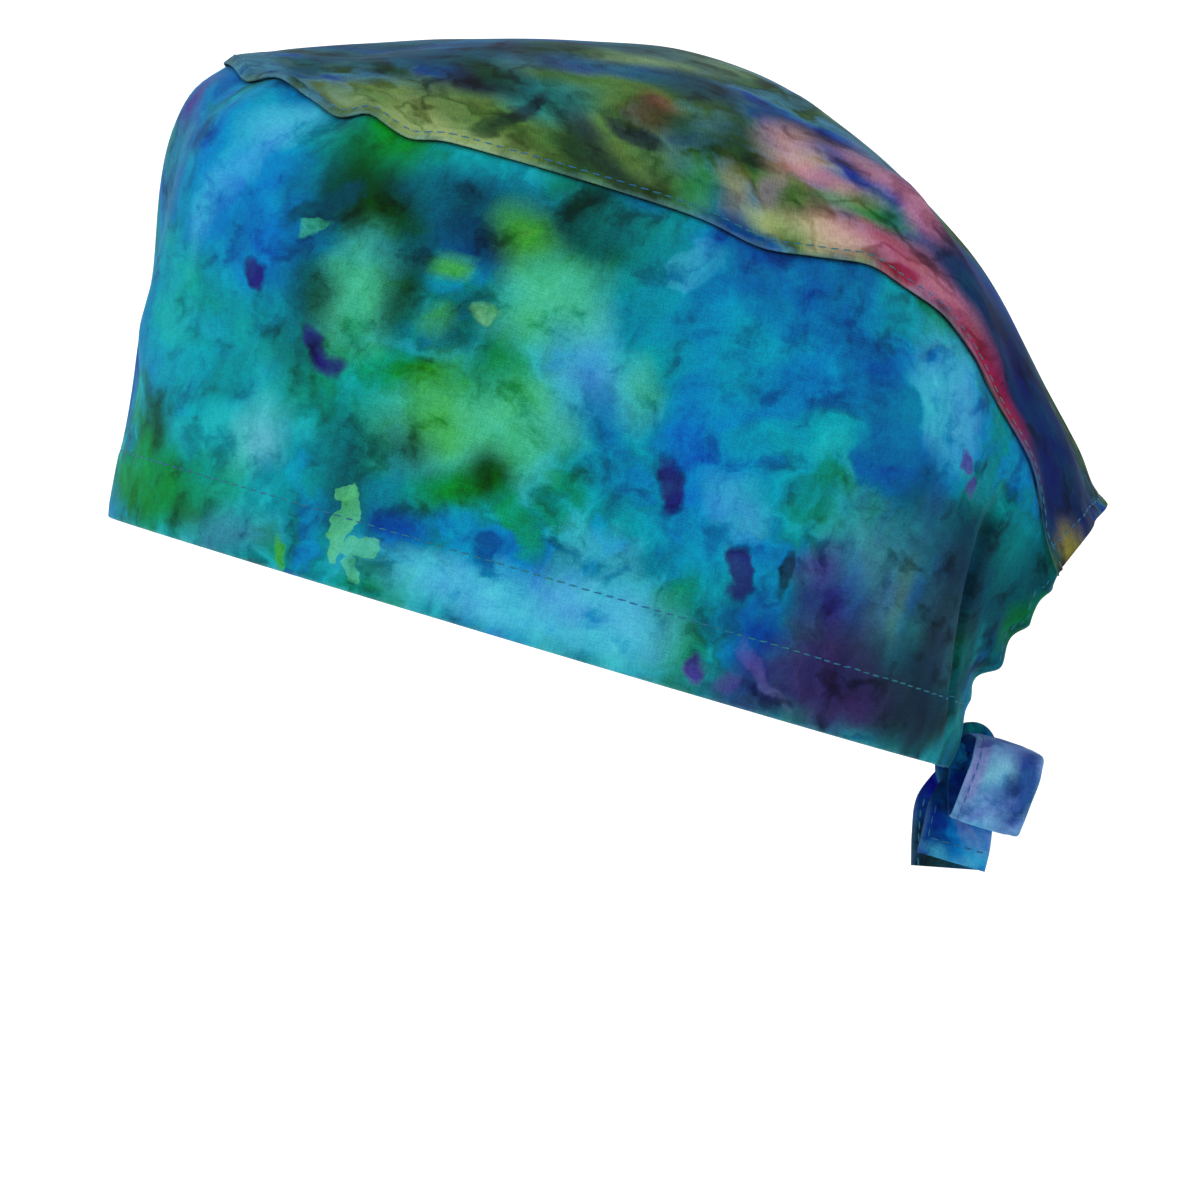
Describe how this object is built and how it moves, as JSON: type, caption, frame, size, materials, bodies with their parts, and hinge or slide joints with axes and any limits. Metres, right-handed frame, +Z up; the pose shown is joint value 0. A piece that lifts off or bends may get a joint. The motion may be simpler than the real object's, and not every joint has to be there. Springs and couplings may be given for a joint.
{
  "type": "surgical scrub cap",
  "caption": "Tie-back cloth scrub cap with a deep side band, a crown that ends in a hemmed tail over the open back, and ties knotted in a bow at the nape.",
  "frame": {"origin": "middle of the head opening, in the plane of the rim, with the head level", "axes": "+X the wearer's left, +Y the back of the head, +Z up"},
  "size_m": [0.1594, 0.2497, 0.2083],
  "materials": {
    "band_cloth": "matte dyed cotton, blue, teal and green",
    "crown_cloth": "matte dyed cotton, green, blue and rose",
    "left_tie_cloth": "matte dyed cotton, light to royal blue",
    "right_tie_cloth": "matte dyed cotton, blue to dark green",
    "knot_cloth": "matte dyed cotton, teal"
  },
  "bodies": {
    "root": {"side_band": "band_cloth", "crown": "crown_cloth", "left_tie": "left_tie_cloth", "right_tie": "right_tie_cloth", "bow_knot": "knot_cloth"}
  },
  "joints": []
}
